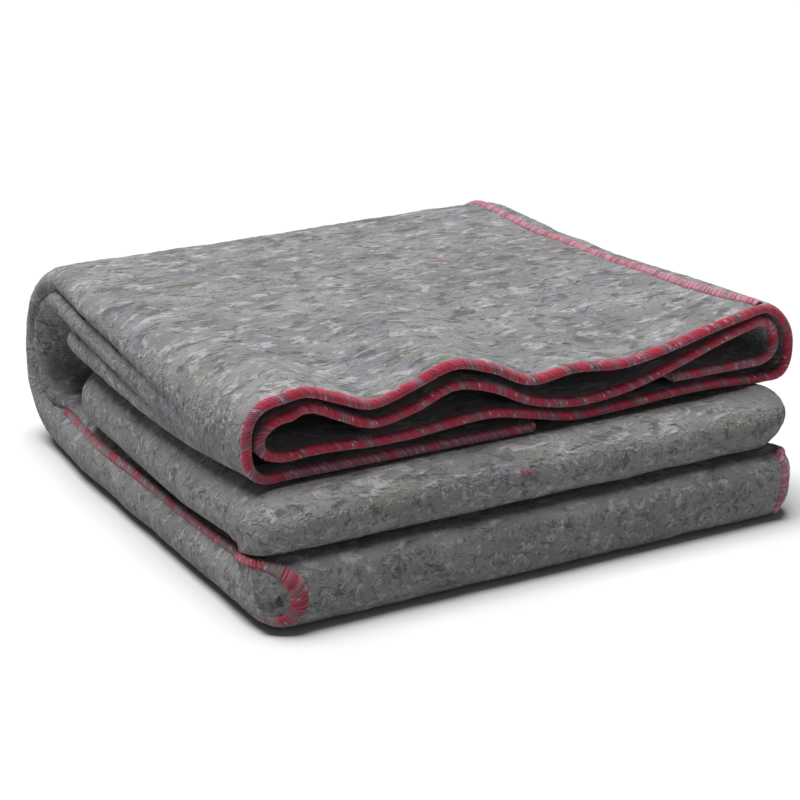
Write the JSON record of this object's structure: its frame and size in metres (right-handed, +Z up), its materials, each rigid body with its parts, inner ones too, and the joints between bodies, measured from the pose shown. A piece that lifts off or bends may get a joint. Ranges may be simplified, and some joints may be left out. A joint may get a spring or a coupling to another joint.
{
  "type": "folded pet blanket",
  "caption": "Thick felt pet blanket with overlocked edges, rolled flat and folded into a soft three-deck packet that rests on a surface.",
  "frame": {"origin": "on the resting face, under the middle of the packet", "axes": "+Z up, +X to the right along the front, +Y to the back"},
  "size_m": [0.4348, 0.4505, 0.1503],
  "materials": {
    "felt": "fuzzy mottled grey wool felt",
    "hem_yarn": "matte red overlock yarn"
  },
  "bodies": {
    "root": {"blanket": "felt"}
  },
  "joints": []
}
